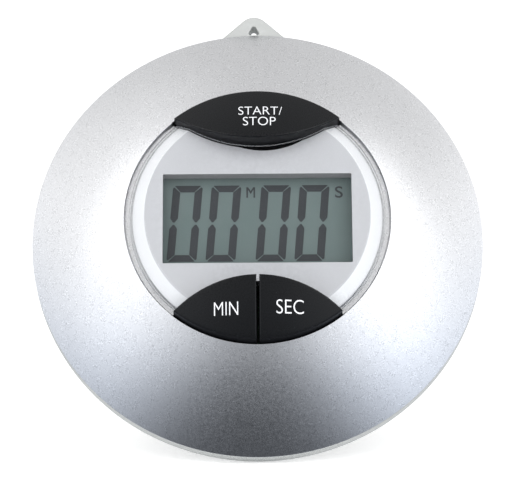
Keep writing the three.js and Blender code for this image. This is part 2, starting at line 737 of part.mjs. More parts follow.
const keys = group(
  piece("start_stop_button", key(1, 0, KEY_POSTS.start), MATERIALS.key),
  piece("minutes_button", key(-1, -1, KEY_POSTS.minutes), MATERIALS.key),
  piece("seconds_button", key(-1, 1, KEY_POSTS.seconds), MATERIALS.key),
  piece("key_dome_start_stop", silicone(KEY_POSTS.start), MATERIALS.silicone),
  piece("key_dome_minutes", silicone(KEY_POSTS.minutes), MATERIALS.silicone),
  piece("key_dome_seconds", silicone(KEY_POSTS.seconds), MATERIALS.silicone),
);

const ceramicLow = BUZZER.low + BUZZER.sheet + GAP;
const electronics = group(
  piece("circuit_board", circuitBoard(), MATERIALS.board),
  piece("controller_chip", controllerChip(), MATERIALS.epoxy),
  piece("timing_crystal", timingCrystal(), MATERIALS.tin),
  piece("chip_capacitor_1", chipCapacitor(CAPACITORS_AT[0]), MATERIALS.ceramic),
  piece("chip_capacitor_2", chipCapacitor(CAPACITORS_AT[1]), MATERIALS.ceramic),
  piece("buzzer_disc", buzzerPlate(BUZZER.radius, BUZZER.low), MATERIALS.brass),
  piece("buzzer_ceramic", buzzerPlate(BUZZER.ceramic, ceramicLow), MATERIALS.ceramic),
  piece("buzzer_lead_1", buzzerLead(-1), MATERIALS.wireRed),
  piece("buzzer_lead_2", buzzerLead(1), MATERIALS.wireBlack),
  piece("battery_cell", batteryCell(), MATERIALS.tin),
  piece("battery_contact_top", batteryContactTop(), MATERIALS.tin),
  piece("battery_contact_side", batteryContactSide(), MATERIALS.tin),
);
boardPosts().forEach((at, i) => {
  electronics.add(piece(`board_screw_${i + 1}`, screw(at, BOARD_SCREW), MATERIALS.steel));
});

const leg = group(piece("stand", stand(), MATERIALS.cover));
leg.position.set(0, HINGE.y, HINGE.z);
leg.rotation.x = STAND_OPEN;
const pin = piece("stand_pin", rod(HINGE.pinRadius, 2 * HINGE.pinHalf), MATERIALS.steel);
pin.position.set(0, HINGE.y, HINGE.z);

const timer = group(caseParts, display, keys, electronics, leg, pin);
timer.rotation.x = Math.PI / 2 - LEAN_RAD;

// Set the timer down with its box's bottom centre at the origin.
const box = new THREE.Box3().setFromObject(timer, true);
timer.position.set(0, -(box.min.y + box.max.y) / 2, -box.min.z);
const standingTimer = group(timer);

export default standingTimer;
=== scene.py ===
"""A round digital kitchen timer: fine meshes, materials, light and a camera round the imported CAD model.

Pieces are drawn in millimetres in the face frame: x to the right, y up the face, z out of the face,
with z = 0 on the flat back. FACE takes them into the row frame, in metres.
"""
import json
import math

import bmesh
import bpy
from mathutils import Matrix, Vector


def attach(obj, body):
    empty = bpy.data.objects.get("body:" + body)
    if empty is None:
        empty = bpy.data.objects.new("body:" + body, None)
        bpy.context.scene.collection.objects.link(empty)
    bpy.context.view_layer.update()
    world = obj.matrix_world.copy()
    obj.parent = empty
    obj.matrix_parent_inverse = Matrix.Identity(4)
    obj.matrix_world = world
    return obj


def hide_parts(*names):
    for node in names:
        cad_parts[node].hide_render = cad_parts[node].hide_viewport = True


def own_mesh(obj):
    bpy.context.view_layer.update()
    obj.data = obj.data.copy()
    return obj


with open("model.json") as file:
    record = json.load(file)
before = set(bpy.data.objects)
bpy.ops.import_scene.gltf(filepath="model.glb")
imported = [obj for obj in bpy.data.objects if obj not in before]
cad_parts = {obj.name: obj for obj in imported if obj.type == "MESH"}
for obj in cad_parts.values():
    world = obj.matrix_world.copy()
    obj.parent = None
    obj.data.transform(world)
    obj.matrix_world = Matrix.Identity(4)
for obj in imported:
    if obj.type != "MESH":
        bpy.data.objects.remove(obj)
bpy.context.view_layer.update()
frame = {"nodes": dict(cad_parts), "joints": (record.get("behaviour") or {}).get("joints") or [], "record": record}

# ---- The face frame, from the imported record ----

MM = 0.001
JOINTS = {joint["name"]: joint for joint in frame["joints"]}
MOUNTS = {mount["name"]: mount for mount in frame["record"]["mounts"]}
RIGHT = Vector((1, 0, 0))
OUT = -Vector(JOINTS["start_stop_press"]["axis"]).normalized()
UP = OUT.cross(RIGHT)
BACK_POINT = Vector(MOUNTS["back_face"]["pos_m"])
ORIGIN = BACK_POINT - RIGHT * BACK_POINT.dot(RIGHT)
TURN = Matrix((RIGHT, UP, OUT)).transposed().to_4x4()
FACE = Matrix.Translation(ORIGIN) @ TURN @ Matrix.Scale(MM, 4)
TO_FACE = FACE.inverted()


def face_box(node):
    """Lowest and highest corner of a CAD node in the face frame, in millimetres."""
    points = [TO_FACE @ v.co for v in frame["nodes"][node].data.vertices]
    low = Vector([min(p[i] for p in points) for i in range(3)])
    high = Vector([max(p[i] for p in points) for i in range(3)])
    return low, high


# ---- Driving dimensions, in millimetres ----

SHELL_LOW, SHELL_HIGH = face_box("front_shell")
LENS_LOW, LENS_HIGH = face_box("lens")
MASK_LOW, MASK_HIGH = face_box("display_mask")
FILM_HIGH = face_box("lcd_polarizer")[1]
DOOR_LOW = face_box("battery_door")[0]

BODY_RADIUS = SHELL_HIGH.x
RIM_Z = SHELL_LOW.z
OPENING_Z = SHELL_HIGH.z
OPENING_RADIUS = 26.05
OPENING_EDGE = 0.12  # radius of the edge round the opening
MOAT = (25.8, 14.9)  # inner radius and floor of the gap between the deck and the opening
WALL = 2.0
DECK = (14.0, 15.6)
AROUND = 256  # facets round the body
FINE = 48  # facets round a small piece

COVER_RADIUS = BODY_RADIUS - 0.15
COVER_FLOOR = 1.8
COVER_EDGE = 0.8

LENS_RADIUS = LENS_HIGH.x
LENS_TOP = LENS_HIGH.z
LENS_FLAT_RADIUS = 22.0
LENS_EDGE_Z = 16.9
LENS_SKIN = 0.5

MASK_TOP = MASK_HIGH.z
MASK_SKIN = 0.4
MASK_FLAT_RADIUS = 22.1
MASK_RADIUS = 24.4
WINDOW = {"half": 18.42, "low": -10.14, "high": 8.42}

KEY_OUTER_RADIUS = 25.85
KEY_ARC_RADIUS = 25.3
KEY_ARC_Y = 39.5
KEY_EDGE_Z = 18.9
KEY_CREST_Z = 23.2
KEY_SLIT = 0.56
KEY_CLEARANCE = 0.35
KEY_EDGE = 0.28  # radius of the edge round a key's top
KEY_EDGE_STEPS = 6
KEY_COLUMNS = 80
KEY_ROWS = 16
KEY_FLANGE = {"grow": 1.0, "low": 12.3, "high": 13.5, "slit": 0.2}

# ---- Mesh tools ----


def arc(cx, cy, radius, start, end, steps):
    """Points on a circle between two angles, in radians."""
    angles = [start + (end - start) * i / steps for i in range(steps + 1)]
    return [(cx + radius * math.cos(a), cy + radius * math.sin(a)) for a in angles]


def rounded(corners, steps=6):
    """A closed outline through (x, y, radius) corners, each rounded by its radius."""
    points = []
    for i, (x, y, radius) in enumerate(corners):
        here = Vector((x, y))
        if radius == 0:
            points.append((x, y))
            continue
        before = (Vector(corners[i - 1][:2]) - here).normalized()
        after = (Vector(corners[(i + 1) % len(corners)][:2]) - here).normalized()
        half = before.angle(after) / 2
        centre = here + (before + after).normalized() * (radius / math.sin(half))
        reach = radius / math.tan(half)
        first = here + before * reach - centre
        last = here + after * reach - centre
        start = math.atan2(first.y, first.x)
        sweep = math.remainder(math.atan2(last.y, last.x) - start, math.tau)
        points += arc(centre.x, centre.y, radius, start, start + sweep, steps)
    return points


def lathe(profile, steps=AROUND, centre=(0, 0)):
    """A profile of (radius, z) points, closed or from axis to axis, turned round the z axis."""
    made = bmesh.new()
    turns = [math.tau * i / steps for i in range(steps)]
    x, y = centre
    rings = []
    for radius, z in profile:
        around = turns if radius > 1e-6 else [0]
        places = [(x + radius * math.cos(a), y + radius * math.sin(a), z) for a in around]
        rings.append([made.verts.new(place) for place in places])
    for lower, upper in zip(rings, rings[1:] + rings[:1]):
        if len(lower) == 1 and len(upper) == 1:
            continue
        for i in range(steps):
            j = (i + 1) % steps
            loop = [lower[i % len(lower)], lower[j % len(lower)]]
            loop += [upper[j % len(upper)], upper[i % len(upper)]]
            made.faces.new(list(dict.fromkeys(loop)))
    bmesh.ops.recalc_face_normals(made, faces=made.faces)
    return made


def disc(radius, low, high, centre=(0, 0), edge=0.0, steps=FINE):
    """A round plate, its two outer edges rounded."""
    profile = [(0, low, 0), (radius, low, edge), (radius, high, edge), (0, high, 0)]
    return lathe(rounded(profile), steps, centre)


def prism(outline, low, high):
    """An outline of (x, y) points, drawn from one height to another."""
    made = bmesh.new()
    bottom = [made.verts.new((x, y, low)) for x, y in outline]
    top = [made.verts.new((x, y, high)) for x, y in outline]
    made.faces.new(bottom)
    made.faces.new(top)
    for i in range(len(outline)):
        made.faces.new([bottom[i - 1], bottom[i], top[i], top[i - 1]])
    bmesh.ops.recalc_face_normals(made, faces=made.faces)
    return made


def rectangle(half_x, half_y, radius, centre=(0, 0)):
    x, y = centre
    corners = [(half_x, half_y), (-half_x, half_y), (-half_x, -half_y), (half_x, -half_y)]
    return rounded([(x + dx, y + dy, radius) for dx, dy in corners])


def block(x, y, z):
    """A box between three pairs of limits."""
    return prism([(x[0], y[0]), (x[1], y[0]), (x[1], y[1]), (x[0], y[1])], *z)


def loose_object(made):
    mesh = bpy.data.meshes.new("work")
    made.to_mesh(mesh)
    made.free()
    holder = bpy.data.objects.new("work", mesh)
    bpy.context.scene.collection.objects.link(holder)
    return holder


def combine(first, second, operation):
    """Two closed meshes joined, cut or intersected."""
    target = loose_object(first)
    tool = loose_object(second)
    modifier = target.modifiers.new("combine", "BOOLEAN")
    modifier.operation = operation
    modifier.solver = "EXACT"
    modifier.object = tool
    result = bmesh.new()
    result.from_object(target, bpy.context.evaluated_depsgraph_get())
    for holder in (target, tool):
        mesh = holder.data
        bpy.data.objects.remove(holder)
        bpy.data.meshes.remove(mesh)
    return result


def cut(target, *tools):
    for tool in tools:
        target = combine(target, tool, "DIFFERENCE")
    return target


def unite(target, *tools):
    for tool in tools:
        target = combine(target, tool, "UNION")
    return target


def add_piece(
    name, made, material, body="case", replaces=(), place=FACE, sharp=32, soften=0.0, trims=()
):
    """A finished piece: placed, smoothed, painted, and riding on its body.

    trims are further materials, each with a rule that picks its faces by their normal and centre.
    """
    bmesh.ops.remove_doubles(made, verts=made.verts, dist=1e-4)
    made.normal_update()
    for face in made.faces:
        for number, (_, picks) in enumerate(trims, 1):
            if picks(face.normal, face.calc_center_median()):
                face.material_index = number
    bmesh.ops.transform(made, matrix=place, verts=made.verts)
    mesh = bpy.data.meshes.new(name)
    made.to_mesh(mesh)
    made.free()
    mesh.polygons.foreach_set("use_smooth", [True] * len(mesh.polygons))
    mesh.set_sharp_from_angle(angle=math.radians(sharp))
    mesh.materials.append(material)
    for trim, _ in trims:
        mesh.materials.append(trim)
    piece = bpy.data.objects.new(name, mesh)
    bpy.context.scene.collection.objects.link(piece)
    if soften:
        bevel = piece.modifiers.new("soft edges", "BEVEL")
        bevel.width = soften * MM
        bevel.segments = 2
        bevel.limit_method = "ANGLE"
        bevel.angle_limit = math.radians(40)
        bevel.harden_normals = True
    else:
        piece.modifiers.new("even shading", "WEIGHTED_NORMAL").keep_sharp = True
    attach(piece, body)
    if replaces:
        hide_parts(*replaces)
    return piece


# ---- Materials ----


class Paint:
    """A material's node tree, with the few nodes that every finish here is made of."""

    def __init__(self, name):
        self.material = bpy.data.materials.new(name)
        self.material.use_nodes = True
        self.nodes = self.material.node_tree.nodes
        self.links = self.material.node_tree.links
        self.shader = self.nodes["Principled BSDF"]
        self.coordinates = self.nodes.new("ShaderNodeTexCoord").outputs["Object"]
        self.normal = None

    def set(self, **values):
        for socket, value in values.items():
            self.shader.inputs[socket.replace("_", " ")].default_value = value
        return self

    def noise(self, size, detail=2.0, roughness=0.5):
        """Noise with features of a size in millimetres."""
        node = self.nodes.new("ShaderNodeTexNoise")
        node.inputs["Scale"].default_value = 1 / (size * MM)
        node.inputs["Detail"].default_value = detail
        node.inputs["Roughness"].default_value = roughness
        self.links.new(self.coordinates, node.inputs["Vector"])
        return node.outputs["Fac"]

    def ranged(self, value, low, high, start=0.3, end=0.7):
        node = self.nodes.new("ShaderNodeMapRange")
        node.inputs["From Min"].default_value = start
        node.inputs["From Max"].default_value = end
        node.inputs["To Min"].default_value = low
        node.inputs["To Max"].default_value = high
        self.links.new(value, node.inputs["Value"])
        return node.outputs["Result"]

    def blend(self, factor, first, second):
        """A colour between two, each a colour or another node's output."""
        node = self.nodes.new("ShaderNodeMix")
        node.data_type = "RGBA"
        self.links.new(factor, node.inputs["Factor"])
        for socket, value in (("A", first), ("B", second)):
            target = next(i for i in node.inputs if i.name == socket and i.type == "RGBA")
            if isinstance(value, tuple):
                target.default_value = (*value, 1)
            else:
                self.links.new(value, target)
        return next(o for o in node.outputs if o.type == "RGBA")

    def bump(self, height, depth, strength=1.0):
        """Adds relief, with its depth in millimetres."""
        node = self.nodes.new("ShaderNodeBump")
        node.inputs["Distance"].default_value = depth * MM
        node.inputs["Strength"].default_value = strength
        self.links.new(height, node.inputs["Height"])
        if self.normal:
            self.links.new(self.normal, node.inputs["Normal"])
        self.normal = node.outputs["Normal"]
        self.links.new(self.normal, self.shader.inputs["Normal"])
        return self

    def edges(self, start=0.51, end=0.56):
        """1 on convex edges, 0 elsewhere, broken up by noise."""
        pointed = self.nodes.new("ShaderNodeNewGeometry").outputs["Pointiness"]
        worn = self.ranged(pointed, 0, 1, start, end)
        scatter = self.ranged(self.noise(0.8, 3), 0, 1, 0.4, 0.6)
        node = self.nodes.new("ShaderNodeMath")
        node.operation = "MULTIPLY"
        self.links.new(worn, node.inputs[0])
        self.links.new(scatter, node.inputs[1])
        return node.outputs["Value"]

    def colour(self, output):
        self.links.new(output, self.shader.inputs["Base Color"])
        return self

    def rough(self, output):
        self.links.new(output, self.shader.inputs["Roughness"])
        return self


def shade(colour, factor):
    return tuple(min(1, c * factor) for c in colour)


def plastic(name, colour, roughness, grain_size=0.35, grain=0.01, mottle=0.05, worn=1.25, **values):
    """Moulded plastic or rubber: faint mottling, fine texture, edges rubbed a little lighter."""
    paint = Paint(name).set(**values)
    cloudy = paint.ranged(paint.noise(5, 3), 0, 1)
    body = paint.blend(cloudy, shade(colour, 1 - mottle), shade(colour, 1 + mottle))
    paint.colour(paint.blend(paint.edges(), body, shade(colour, worn)))
    fine = paint.noise(grain_size, 3)
    paint.rough(paint.ranged(fine, roughness * 0.88, roughness * 1.12))
    paint.bump(fine, grain)
    return paint.material


def metal(name, colour, roughness, stretch=(1, 1, 1), grain_size=0.12, grain=0.004):
    """Plated or bare metal, with fine marks drawn out along an axis."""
    paint = Paint(name).set(Metallic=1.0)
    mapping = paint.nodes.new("ShaderNodeMapping")
    mapping.inputs["Scale"].default_value = stretch
    paint.links.new(paint.coordinates, mapping.inputs["Vector"])
    paint.coordinates = mapping.outputs["Vector"]
    stains = paint.ranged(paint.noise(3, 4), 0, 1)
    paint.colour(paint.blend(stains, shade(colour, 0.9), shade(colour, 1.06)))
    fine = paint.noise(grain_size, 4, 0.6)
    paint.rough(paint.ranged(fine, roughness * 0.75, roughness * 1.25))
    paint.bump(fine, grain)
    return paint.material


def silver_paint():
    """Metallic silver lacquer: fine flakes in a slightly uneven coat."""
    paint = Paint("silver_paint").set(Metallic=1.0)
    base = (0.70, 0.705, 0.72)
    flakes = paint.ranged(paint.noise(0.2, 2, 0.7), 0, 1, 0.36, 0.64)
    body = paint.blend(flakes, shade(base, 0.62), shade(base, 1.28))
    clouds = paint.ranged(paint.noise(1.1, 3, 0.6), 0, 1, 0.35, 0.65)
    body = paint.blend(clouds, shade(base, 0.97), body)
    paint.colour(body)
    paint.rough(paint.ranged(paint.noise(0.5, 3), 0.32, 0.40))
    paint.bump(paint.noise(0.22, 2, 0.6), 0.012)
    paint.bump(paint.noise(1.6, 2), 0.006)
    return paint.material


def clear_plastic():
    """Polished clear plastic: see-through, with reflections on its front faces only."""
    paint = Paint("clear_plastic")
    nodes, links = paint.nodes, paint.links
    nodes.remove(paint.shader)
    fresnel = nodes.new("ShaderNodeFresnel")
    fresnel.inputs["IOR"].default_value = 1.49
    side = nodes.new("ShaderNodeNewGeometry").outputs["Backfacing"]
    front = nodes.new("ShaderNodeMath")
    front.operation = "SUBTRACT"
    front.inputs[0].default_value = 1
    links.new(side, front.inputs[1])
    factor = nodes.new("ShaderNodeMath")
    factor.operation = "MULTIPLY"
    links.new(fresnel.outputs["Fac"], factor.inputs[0])
    links.new(front.outputs["Value"], factor.inputs[1])
    through = nodes.new("ShaderNodeBsdfTransparent")
    through.inputs["Color"].default_value = (0.985, 0.99, 0.99, 1)
    gloss = nodes.new("ShaderNodeBsdfAnisotropic")
    gloss.inputs["Roughness"].default_value = 0.03
    relief = nodes.new("ShaderNodeBump")
    relief.inputs["Distance"].default_value = 0.004 * MM
    links.new(paint.noise(6, 2), relief.inputs["Height"])
    links.new(relief.outputs["Normal"], gloss.inputs["Normal"])
    mix = nodes.new("ShaderNodeMixShader")
    links.new(factor.outputs["Value"], mix.inputs["Fac"])
    links.new(through.outputs["BSDF"], mix.inputs[1])
    links.new(gloss.outputs["BSDF"], mix.inputs[2])
    links.new(mix.outputs["Shader"], nodes["Material Output"].inputs["Surface"])
    return paint.material


def display_film():
    """Grey-green polarizing film: satin, with faint drifts of tone."""
    paint = Paint("display_film").set(Specular_IOR_Level=0.2)
    drift = paint.ranged(paint.noise(9, 2), 0, 1)
    paint.colour(paint.blend(drift, (0.118, 0.156, 0.153), (0.133, 0.170, 0.167)))
    fine = paint.noise(0.08, 3)
    paint.rough(paint.ranged(fine, 0.42, 0.52))
    paint.bump(fine, 0.002)
    return paint.material


SILVER = silver_paint()
CLEAR = clear_plastic()
FILM = display_film()
COVER = plastic("cover_plastic", (0.44, 0.45, 0.44), 0.5, 0.25, 0.015, 0.02, 1.08)
MASK = plastic("mask_paint", (0.53, 0.53, 0.555), 0.34, 0.12, 0.003, 0.012, 1.05, Metallic=0.25)
# A lighter copy of the mask paint for the sloping rim under the lens's bevel: a painted highlight, standing for
# the light that the bevel catches.
BEVEL = plastic("bevel_painted_highlight", (0.74, 0.74, 0.76), 0.3, 0.12, 0.003, 0.012, 1.05)
KEY = plastic("key_black", (0.0055, 0.006, 0.007), 0.28, 0.5, 0.0008, 0.04, 1.4, Specular_IOR_Level=0.2)
KEY_SIDE = plastic("key_side", (0.007, 0.0075, 0.009), 0.4, 0.5, 0.003, 0.06, 1.5, Specular_IOR_Level=0.12)
# A darker copy of the mask paint for the display window's walls: painted shade, standing for the shadow inside the
# window's recess.
WINDOW_WALL_SHADE = plastic("window_wall_painted_shade", (0.27, 0.272, 0.285), 0.5, 0.12, 0.003, 0.03, 1.0)
# Dark grey, partly opaque paint on the clear lens's outer wall: painted shade in the groove between the lens and
# the shell.
LENS_RIM_SHADE = plastic("lens_rim_painted_shade", (0.27, 0.27, 0.30), 0.4, 0.1, 0.004, 0.05, 1.0, Alpha=0.6)
# Light grey, partly see-through paint on the clear lens's key-slot walls: a painted highlight along the slot's cut
# edge.
SLOT_EDGE_HIGHLIGHT = plastic("slot_edge_painted_highlight", (0.62, 0.64, 0.66), 0.5, 0.1, 0.01, 0.05, 1.0, Alpha=0.3)
SEGMENT = plastic("segment_ink", (0.036, 0.039, 0.044), 0.5, 0.1, 0.002, 0.06, 1.0, Specular_IOR_Level=0.2)
PRINT = plastic("legend_print", (0.80, 0.81, 0.83), 0.45, 0.08, 0.002, 0.04, 1.0)
STEEL = metal("zinc_steel", (0.56, 0.57, 0.6), 0.3)
NICKEL = metal("nickel_plate", (0.62, 0.61, 0.58), 0.22, grain_size=0.3)

# ---- Key shapes ----

KEY_APEX_Y = KEY_ARC_Y - KEY_ARC_RADIUS
KEY_DOME_Z = (KEY_CREST_Z**2 - KEY_EDGE_Z**2 + KEY_APEX_Y**2 - KEY_OUTER_RADIUS**2) / (
    2 * (KEY_CREST_Z - KEY_EDGE_Z)
)
KEY_DOME_RADIUS = math.hypot(KEY_OUTER_RADIUS, KEY_EDGE_Z - KEY_DOME_Z)


def key_top(x, y):
    """Height of the keys' common bulging top."""
    return KEY_DOME_Z + math.sqrt(KEY_DOME_RADIUS**2 - x * x - y * y)


def key_tip(outer, inner):
    """Where an outer circle and an inner arc meet, on the right."""
    y = (KEY_ARC_Y**2 + outer**2 - inner**2) / (2 * KEY_ARC_Y)
    return math.sqrt(outer**2 - y**2), y


def key_outline(side, outer, grow):
    """The outline between an outer circle and a key's inner arc; side is 1 at the top, -1 below."""
    inner = KEY_ARC_RADIUS + grow
    tip_x, tip_y = key_tip(outer, inner)
    angle = math.atan2(tip_y, tip_x)
    turn = math.atan2(tip_y - KEY_ARC_Y, tip_x)
    points = arc(0, 0, outer, angle, math.pi - angle, 48)
    points += arc(0, KEY_ARC_Y, inner, -math.pi - turn, turn, 48)[1:-1]
    return [(side * x, side * y) for x, y in points]


def key_slot(side, low, high, outer=KEY_OUTER_RADIUS + KEY_CLEARANCE):
    return prism(key_outline(side, outer, KEY_CLEARANCE), low, high)


def clustered(low, high, count):
    """Values from low to high, closer together towards both ends."""
    return [low + (high - low) * (1 - math.cos(math.pi * i / count)) / 2 for i in range(count + 1)]


def key_columns(half, inset):
    """Columns of (x, y) points that cover a key's top, drawn in from its outline."""
    outer, inner = KEY_OUTER_RADIUS - inset, KEY_ARC_RADIUS - inset
    tip_x = key_tip(outer, inner)[0]
    near = KEY_SLIT / 2 + inset if half else -tip_x
    columns = []
    for x in clustered(near, tip_x, KEY_COLUMNS):
        low = KEY_ARC_Y - math.sqrt(inner**2 - x * x)
        high = max(low, math.sqrt(outer**2 - x * x))
        columns.append([(x, low + (high - low) * i / KEY_ROWS) for i in range(KEY_ROWS + 1)])
    return columns


def key_cap(side, half):
    """A key; half is 0 for a whole outline, or the sign of x for one of a pair."""
    made = bmesh.new()
    flip = half or 1

    def vertex(x, y, z):
        return made.verts.new((flip * x, side * y, z))

    def ring(inset):
        columns = key_columns(half, inset)
        points = [column[0] for column in columns] + [column[-1] for column in columns[-2:0:-1]]
        return points + (columns[0][:0:-1] if half else [])

    floor = (KEY_FLANGE["low"] + KEY_FLANGE["high"]) / 2
    loops = [[vertex(x, y, floor) for x, y in ring(0)]]
    for i in range(KEY_EDGE_STEPS + 1):
        turn = math.pi / 2 * i / KEY_EDGE_STEPS
        drop = KEY_EDGE * (1 - math.sin(turn))
        loops.append([vertex(x, y, key_top(x, y) - drop) for x, y in ring(KEY_EDGE * (1 - math.cos(turn)))])
    for lower, upper in zip(loops, loops[1:]):
        for i in range(len(lower)):
            made.faces.new([lower[i - 1], lower[i], upper[i], upper[i - 1]])
    made.faces.new(loops[0])
    top = [[vertex(x, y, key_top(x, y)) for x, y in column] for column in key_columns(half, KEY_EDGE)]
    for left, right in zip(top, top[1:]):
        for i in range(KEY_ROWS):
            made.faces.new([left[i], right[i], right[i + 1], left[i + 1]])
    bmesh.ops.remove_doubles(made, verts=made.verts, dist=1e-4)
    bmesh.ops.recalc_face_normals(made, faces=made.faces)
    grow = KEY_FLANGE["grow"]
    flange = prism(key_outline(side, KEY_OUTER_RADIUS + grow, grow), KEY_FLANGE["low"], KEY_FLANGE["high"])
    if half:
        edges = sorted([half * KEY_FLANGE["slit"] / 2, half * 2 * BODY_RADIUS])
        flange = combine(flange, block(edges, (-BODY_RADIUS, BODY_RADIUS), (0, 2 * KEY_CREST_Z)), "INTERSECT")
    return unite(made, flange)


# ---- The case ----


def dome(inset, from_radius, to_radius, steps):
    """(radius, z) points of the shell's dome, or of one offset inwards."""
    rise = OPENING_Z - RIM_Z
    drop = (BODY_RADIUS**2 - OPENING_RADIUS**2 - rise**2) / (2 * rise)
    radius = math.hypot(BODY_RADIUS, drop) - inset
    angles = [math.acos(r / radius) for r in (from_radius, to_radius)]
    return arc(0, RIM_Z - drop, radius, *angles, steps)


def front_shell():
    outside = dome(0, BODY_RADIUS, OPENING_RADIUS, 22)
    inside = dome(WALL, 0.62 * BODY_RADIUS, BODY_RADIUS - WALL, 22)
    inner_low = [(r, z) for r, z in inside if z > RIM_Z]
    corners = [(0, DECK[0], 0), (inner_low[0][0], DECK[0], 0)]
    corners += [(r, z, 0) for r, z in inner_low]
    corners += [(BODY_RADIUS - WALL, RIM_Z, 0), (*outside[0], 0.12)]
    corners += [(r, z, 0) for r, z in outside[1:-1]]
    corners += [(*outside[-1], OPENING_EDGE), (OPENING_RADIUS, MOAT[1], 0), (MOAT[0], MOAT[1], 0)]
    corners += [(MOAT[0], DECK[1], 0.08), (0, DECK[1], 0)]
    shell = lathe(rounded(corners))
    glass = face_box("lcd_glass")[1]
    room = rectangle(glass.x + 0.3, glass.y + 0.3, 0.5)
    return cut(shell, prism(room, 13, 17), key_slot(1, 12, 17), key_slot(-1, 12, 17))


def lens():
    foot = LENS_LOW.z
    under = LENS_TOP - LENS_SKIN
    corners = [
        (0, under, 0),
        (LENS_FLAT_RADIUS - 0.3, under, 0.3),
        (LENS_RADIUS - 0.4, LENS_EDGE_Z - 0.2, 0.3),
        (LENS_RADIUS - 0.4, foot, 0),
        (LENS_RADIUS, foot, 0.1),
        (LENS_RADIUS, LENS_EDGE_Z, 0.2),
        (LENS_FLAT_RADIUS, LENS_TOP, 0.25),
        (0, LENS_TOP, 0),
    ]
    outer = KEY_OUTER_RADIUS + 2
    return cut(lathe(rounded(corners)), key_slot(1, 12, 21, outer), key_slot(-1, 12, 21, outer))


def mask():
    foot = MASK_LOW.z
    corners = [
        (0, MASK_TOP - MASK_SKIN, 0),
        (MASK_FLAT_RADIUS - MASK_SKIN, MASK_TOP - MASK_SKIN, 0.3),
        (MASK_RADIUS - MASK_SKIN, 16.3, 0.3),
        (MASK_RADIUS - MASK_SKIN, foot, 0),
        (MASK_RADIUS, foot, 0),
        (MASK_RADIUS, 16.5, 0.3),
        (MASK_FLAT_RADIUS, MASK_TOP, 0.4),
        (0, MASK_TOP, 0),
    ]
    middle = (WINDOW["low"] + WINDOW["high"]) / 2
    half_y = (WINDOW["high"] - WINDOW["low"]) / 2
    collar = prism(rectangle(WINDOW["half"] + 0.5, half_y + 0.5, 0.6, (0, middle)), foot, MASK_TOP - 0.1)
    opening = prism(rectangle(WINDOW["half"], half_y, 0.25, (0, middle)), foot - 1, MASK_TOP + 1)
    made = unite(lathe(rounded(corners)), collar)
    bite = disc(14.7, 12, 21, (1.25, 28.0), steps=128)
    outer = KEY_OUTER_RADIUS + 2
    return cut(made, opening, key_slot(1, 12, 21, outer), key_slot(-1, 12, 21, outer), bite)


add_piece("fine_shell", front_shell(), SILVER, replaces=["front_shell"])


def on_key_slot(normal, point):
    """Whether a face belongs to the inner wall of a key's slot."""
    reach = math.hypot(point.x, KEY_ARC_Y - abs(point.y))
    return abs(normal.z) < 0.3 and abs(reach - KEY_ARC_RADIUS - KEY_CLEARANCE) < 0.05


# The lens's outer wall inside the groove, which takes the dark paint as painted shade.
def on_lens_rim(normal, point):
    return abs(normal.z) < 0.3 and math.hypot(point.x, point.y) > LENS_RADIUS - 0.2


# Faces of the display window's walls, which take the darker paint as painted shade.
def in_window(normal, point):
    beside = abs(point.x) < WINDOW["half"] + 0.05
    return abs(normal.z) < 0.3 and beside and WINDOW["low"] - 0.05 < point.y < WINDOW["high"] + 0.05


def beside_window(normal, point):
    return in_window(normal, point) and abs(normal.x) > 0.7


# The mask's sloping rim under the lens's bevel, which takes the lighter paint as a painted highlight.
def on_bevel(normal, point):
    return 0.3 < normal.z < 0.97 and math.hypot(point.x, point.y) > MASK_FLAT_RADIUS


def on_key_side(normal, point):
    return normal.z < 0.75


# The lens's slot walls take a painted highlight line, its outer wall painted shade.
lens_trims = [(SLOT_EDGE_HIGHLIGHT, on_key_slot), (LENS_RIM_SHADE, on_lens_rim)]
add_piece("fine_lens", lens(), CLEAR, replaces=["lens"], trims=lens_trims)
# The mask's trims are lighter and darker copies of its own paint: a painted highlight on the sloping rim, painted
# shade on the window's walls.
mask_trims = [(BEVEL, beside_window), (WINDOW_WALL_SHADE, in_window), (BEVEL, on_bevel)]
add_piece("fine_mask", mask(), MASK, replaces=["display_mask"], trims=mask_trims)
for name, side, half, body in (
    ("start_stop", 1, 0, "start_stop_key"),
    ("minutes", -1, -1, "minutes_key"),
    ("seconds", -1, 1, "seconds_key"),
):
    cap = key_cap(side, half)
    trims = [(KEY_SIDE, on_key_side)]
    add_piece(f"{name}_key_cap", cap, KEY, body, [f"{name}_button"], trims=trims)

# ---- Display: seven-segment digits and unit letters ----

DIGIT = {"low": -8.86, "high": 7.03, "width": 5.82, "stroke": 1.5, "bar": 1.38, "slant": math.radians(4.6)}
DIGIT_LEFT = (-17.74, -10.17, -0.45, 7.10)
INK = (0.02, 0.05)  # bottom and top of the segments above the film
MITRE = 0.06  # half of the gap between two segments


